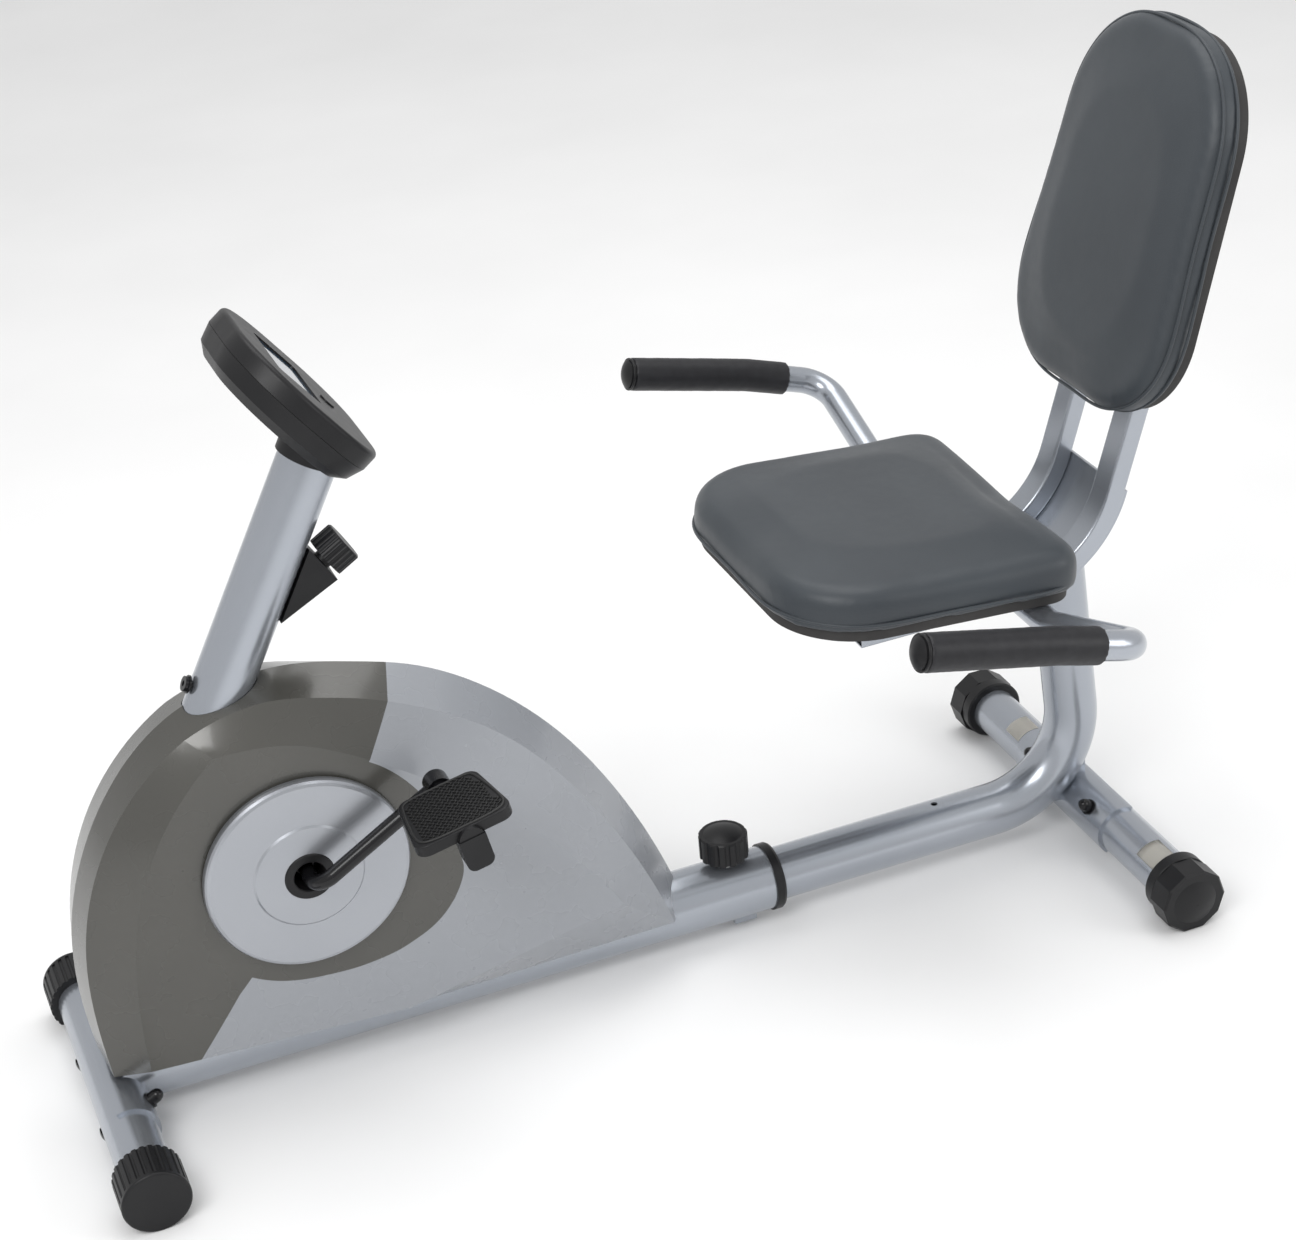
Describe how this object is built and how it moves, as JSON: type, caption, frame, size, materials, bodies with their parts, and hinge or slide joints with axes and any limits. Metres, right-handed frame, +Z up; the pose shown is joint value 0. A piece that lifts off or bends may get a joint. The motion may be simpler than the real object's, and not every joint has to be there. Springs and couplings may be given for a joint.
{
  "type": "recumbent exercise bike",
  "caption": "Home recumbent exercise bike with a shrouded magnetic flywheel drive, sliding padded seat and back rest, side handlebars and a small tilted console.",
  "frame": {"origin": "on the floor, under the middle of the bike's length and width", "axes": "+X from the front stabiliser towards the back rest, +Z up, +Y to the rider's right"},
  "size_m": [1.2125, 0.711, 0.8622],
  "materials": {
    "silver": "satin metallic silver",
    "black_steel": "gloss black",
    "black_plastic": "fine satin",
    "shroud_shell": "metallic silver with a dark taupe front",
    "cover": "satin silver",
    "vinyl": "soft grained vinyl",
    "foam_grip": "matte foam",
    "zinc": "zinc plated",
    "iron": "turned",
    "board": "plywood",
    "lens": "tinted",
    "grey_plastic": "plain",
    "belt_rubber": "ribbed"
  },
  "bodies": {
    "frame": {"main_tube": "silver", "front_saddle": "silver", "front_stabilizer": "silver", "front_bolt_left": "black_steel", "front_bolt_right": "black_steel", "front_cap_left": "black_plastic", "front_cap_right": "black_plastic", "mast_post": "black_steel", "mast": "silver", "mast_bolt": "black_steel", "bottom_bracket": "black_steel", "flywheel_plate_left": "black_steel", "flywheel_plate_right": "black_steel", "collar": "black_plastic", "pin_housing": "zinc", "shroud_left": "shroud_shell", "shroud_right": "shroud_shell", "crank_cover_left": "cover", "crank_cover_right": "cover", "hub_ring_left": "black_plastic", "hub_ring_right": "black_plastic", "console_back": "black_plastic", "console_bezel": "black_plastic", "console_lens": "lens", "tension_bracket": "black_plastic", "drive_belt": "belt_rubber"},
    "crankset": {"crank": "black_steel", "drive_pulley": "grey_plastic"},
    "flywheel_set": {"flywheel": "iron", "flywheel_pulley": "grey_plastic"},
    "left_pedal": {"pedal_left": "black_plastic"},
    "right_pedal": {"pedal_right": "black_plastic"},
    "tension_dial": {"tension_knob": "black_plastic"},
    "brake_yoke": {"magnet_yoke": "black_steel"},
    "mode_button": {"console_button": "black_plastic"},
    "seat_lock": {"pull_knob": "black_plastic"},
    "seat_frame": {"rear_tube": "silver", "tube_glide": "grey_plastic", "rear_saddle": "silver", "rear_stabilizer": "silver", "rear_bolt_left": "black_steel", "rear_bolt_right": "black_steel", "level_collar_left": "black_plastic", "level_collar_right": "black_plastic", "upright_left": "silver", "upright_right": "silver", "seat_carrier": "silver", "seat_riser_front": "black_steel", "seat_riser_rear": "black_steel", "seat_board": "board", "seat_cushion": "vinyl", "back_board": "board", "back_cushion": "vinyl", "handlebar": "silver", "grip_left": "foam_grip", "grip_right": "foam_grip", "grip_plug_left": "black_plastic", "grip_plug_right": "black_plastic"},
    "left_leveller": {"level_cap_left": "black_plastic"},
    "right_leveller": {"level_cap_right": "black_plastic"}
  },
  "joints": [
    {"name": "crank_spin", "type": "hinge", "parent": "frame", "child": "crankset", "pos_m": [-0.3666, 0, 0.248], "axis": [0, 1, 0], "continuous": true},
    {"name": "left_pedal_spin", "type": "hinge", "parent": "crankset", "child": "left_pedal", "pos_m": [-0.24166, -0.095, 0.32159], "axis": [0, 1, 0], "continuous": true},
    {"name": "right_pedal_spin", "type": "hinge", "parent": "crankset", "child": "right_pedal", "pos_m": [-0.49154, 0.095, 0.17441], "axis": [0, 1, 0], "continuous": true},
    {"name": "flywheel_spin", "type": "hinge", "parent": "frame", "child": "flywheel_set", "pos_m": [-0.1666, 0, 0.178], "axis": [0, 1, 0], "continuous": true},
    {"name": "tension_turn", "type": "hinge", "parent": "frame", "child": "tension_dial", "pos_m": [-0.296, 0, 0.52463], "axis": [0.857, 0, 0.5154], "range_deg": [0, 270]},
    {"name": "magnet_swing", "type": "hinge", "parent": "frame", "child": "brake_yoke", "pos_m": [-0.23761, 0, 0.27224], "axis": [0, 1, 0], "range_deg": [-6.1, 0.1]},
    {"name": "button_press", "type": "slide", "parent": "frame", "child": "mode_button", "axis": [-0.7986, 0, -0.6018], "range_m": [0, 0.0012], "stiffness_N_per_m": 500, "springref_m": -0.001},
    {"name": "lock_pull", "type": "slide", "parent": "frame", "child": "seat_lock", "axis": [0, 0, 1], "range_m": [0, 0.01], "stiffness_N_per_m": 600, "springref_m": -0.006},
    {"name": "seat_slide", "type": "slide", "parent": "frame", "child": "seat_frame", "axis": [1, 0, 0], "range_m": [0, 0.16]},
    {"name": "left_level_turn", "type": "hinge", "parent": "seat_frame", "child": "left_leveller", "pos_m": [0.4774, -0.215, 0.036], "axis": [0, 1, 0], "range_deg": [-120, 120]},
    {"name": "right_level_turn", "type": "hinge", "parent": "seat_frame", "child": "right_leveller", "pos_m": [0.4774, 0.215, 0.036], "axis": [0, 1, 0], "range_deg": [-120, 120]}
  ],
  "couplings": [
    {"joint": "flywheel_spin", "follows": "crank_spin", "ratio": 5},
    {"joint": "magnet_swing", "follows": "tension_turn", "ratio": -0.022222}
  ]
}
